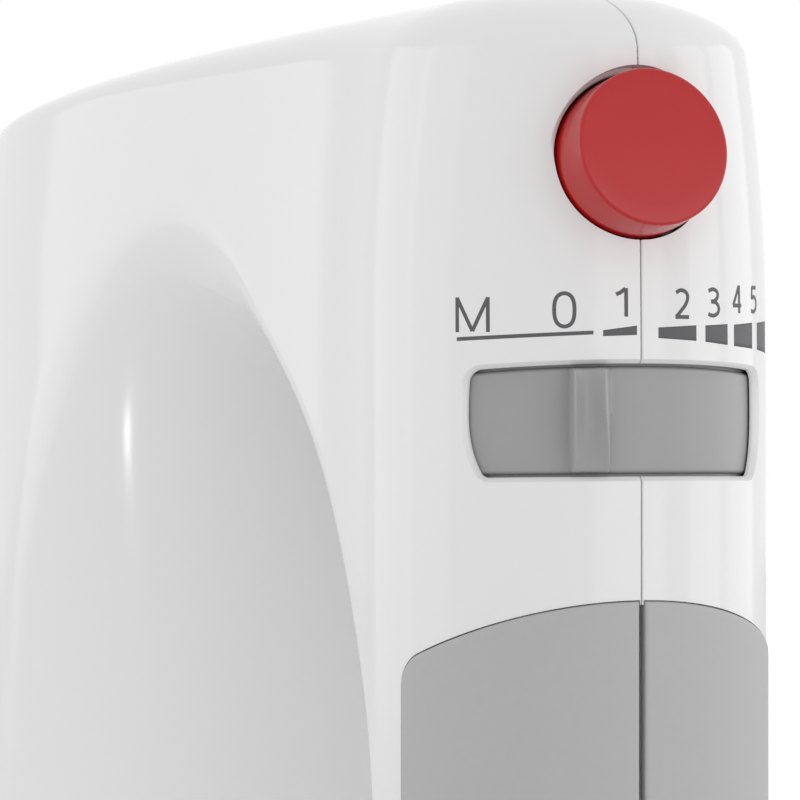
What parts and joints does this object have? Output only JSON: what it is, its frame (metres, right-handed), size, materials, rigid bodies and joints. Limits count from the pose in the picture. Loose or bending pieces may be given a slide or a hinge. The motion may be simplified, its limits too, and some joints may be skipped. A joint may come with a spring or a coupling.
{
  "type": "hand mixer",
  "caption": "Electric hand mixer: two-shell housing with a closed handle, sliding speed switch, eject button, motor with worm drive and a pair of wire beaters.",
  "frame": {"origin": "centre of the whole object's box, on the surface that the heel stands on", "axes": "+Z from the heel towards the nose, along the handle; +Y from the top of the handle towards the underside and the beaters; +X to the right across the seam"},
  "size_m": [0.09, 0.2726, 0.195],
  "materials": {
    "shell_white": "glossy moulded ABS",
    "grip_grey": "soft-touch overmould, fine matt",
    "switch_grey": "satin moulded plastic",
    "button_red": "satin gloss moulded plastic",
    "black_plastic": "glass-filled nylon",
    "nylon": "natural acetal",
    "steel": "zinc-plated",
    "chrome": "polished plating",
    "lamination": "stacked electrical sheet",
    "copper": "enamelled copper wire",
    "brass": "turned",
    "carbon": "pressed carbon",
    "board_green": "glass-epoxy board",
    "capacitor_yellow": "resin-filled case"
  },
  "bodies": {
    "housing": {"shell_left": "shell_white", "shell_right": "shell_white", "grip_inlay_left": "grip_grey", "grip_inlay_right": "grip_grey", "switch_board": "board_green", "speed_switch": "black_plastic", "suppression_capacitor": "capacitor_yellow", "gearbox_tray": "black_plastic", "gearbox_cover": "black_plastic", "spindle_bush_left": "nylon", "spindle_bush_right": "nylon", "rear_bearing": "brass", "front_bearing": "brass", "stator_core": "lamination", "field_coil_left": "copper", "field_coil_right": "copper", "brush_left": "carbon", "brush_right": "carbon", "brush_holder_left": "brass", "brush_holder_right": "brass", "rear_bracket": "black_plastic", "cord_gland": "black_plastic", "terminal_block": "nylon", "ejector_spring": "steel", "screw_grip_front": "steel", "screw_grip_rear": "steel", "screw_nose": "steel", "screw_underside": "steel", "screw_heel": "steel"},
    "slider": {"speed_slider": "switch_grey", "switch_carriage": "black_plastic"},
    "button": {"eject_button": "button_red"},
    "yoke": {"ejector_yoke": "black_plastic"},
    "rotor": {"motor_shaft": "steel", "armature_core": "lamination", "armature_winding": "copper", "commutator": "copper", "cooling_fan": "black_plastic"},
    "gear_left": {"worm_gear_left": "nylon"},
    "gear_right": {"worm_gear_right": "nylon"},
    "whisk_left": {"beater_left": "chrome", "beater_collar_left": "switch_grey"},
    "whisk_right": {"beater_right": "chrome", "beater_collar_right": "black_plastic"}
  },
  "joints": [
    {"name": "speed_slide", "type": "hinge", "parent": "housing", "child": "slider", "pos_m": [0, -0.10524, 0.1425], "axis": [0, 0.0028, 1], "range_deg": [-23.5, 52.5]},
    {"name": "eject_press", "type": "slide", "parent": "housing", "child": "button", "axis": [0, 0.9816, -0.1908], "range_m": [0, 0.0055], "stiffness_N_per_m": 300, "springref_m": -0.003},
    {"name": "yoke_slide", "type": "slide", "parent": "housing", "child": "yoke", "axis": [0, 1, 0], "range_m": [0, 0.0055], "deforming": ["ejector_spring"]},
    {"name": "motor_spin", "type": "hinge", "parent": "housing", "child": "rotor", "pos_m": [0, -0.02074, 0.065], "axis": [0, 0, 1], "continuous": true},
    {"name": "gear_left_spin", "type": "hinge", "parent": "housing", "child": "gear_left", "pos_m": [-0.017, -0.02074, 0.122], "axis": [0, 1, 0], "continuous": true},
    {"name": "gear_right_spin", "type": "hinge", "parent": "housing", "child": "gear_right", "pos_m": [0.017, -0.02074, 0.122], "axis": [0, 1, 0], "continuous": true},
    {"name": "beater_left_out", "type": "slide", "parent": "gear_left", "child": "whisk_left", "axis": [0, 1, 0], "range_m": [0, 0.0055]},
    {"name": "beater_right_out", "type": "slide", "parent": "gear_right", "child": "whisk_right", "axis": [0, 1, 0], "range_m": [0, 0.0055]}
  ],
  "couplings": [
    {"joint": "gear_left_spin", "follows": "motor_spin", "ratio": 0.033333},
    {"joint": "gear_right_spin", "follows": "motor_spin", "ratio": -0.033333},
    {"joint": "yoke_slide", "follows": "eject_press", "ratio": 0.98163},
    {"joint": "beater_left_out", "follows": "eject_press", "ratio": 0.98163},
    {"joint": "beater_right_out", "follows": "eject_press", "ratio": 0.98163}
  ]
}
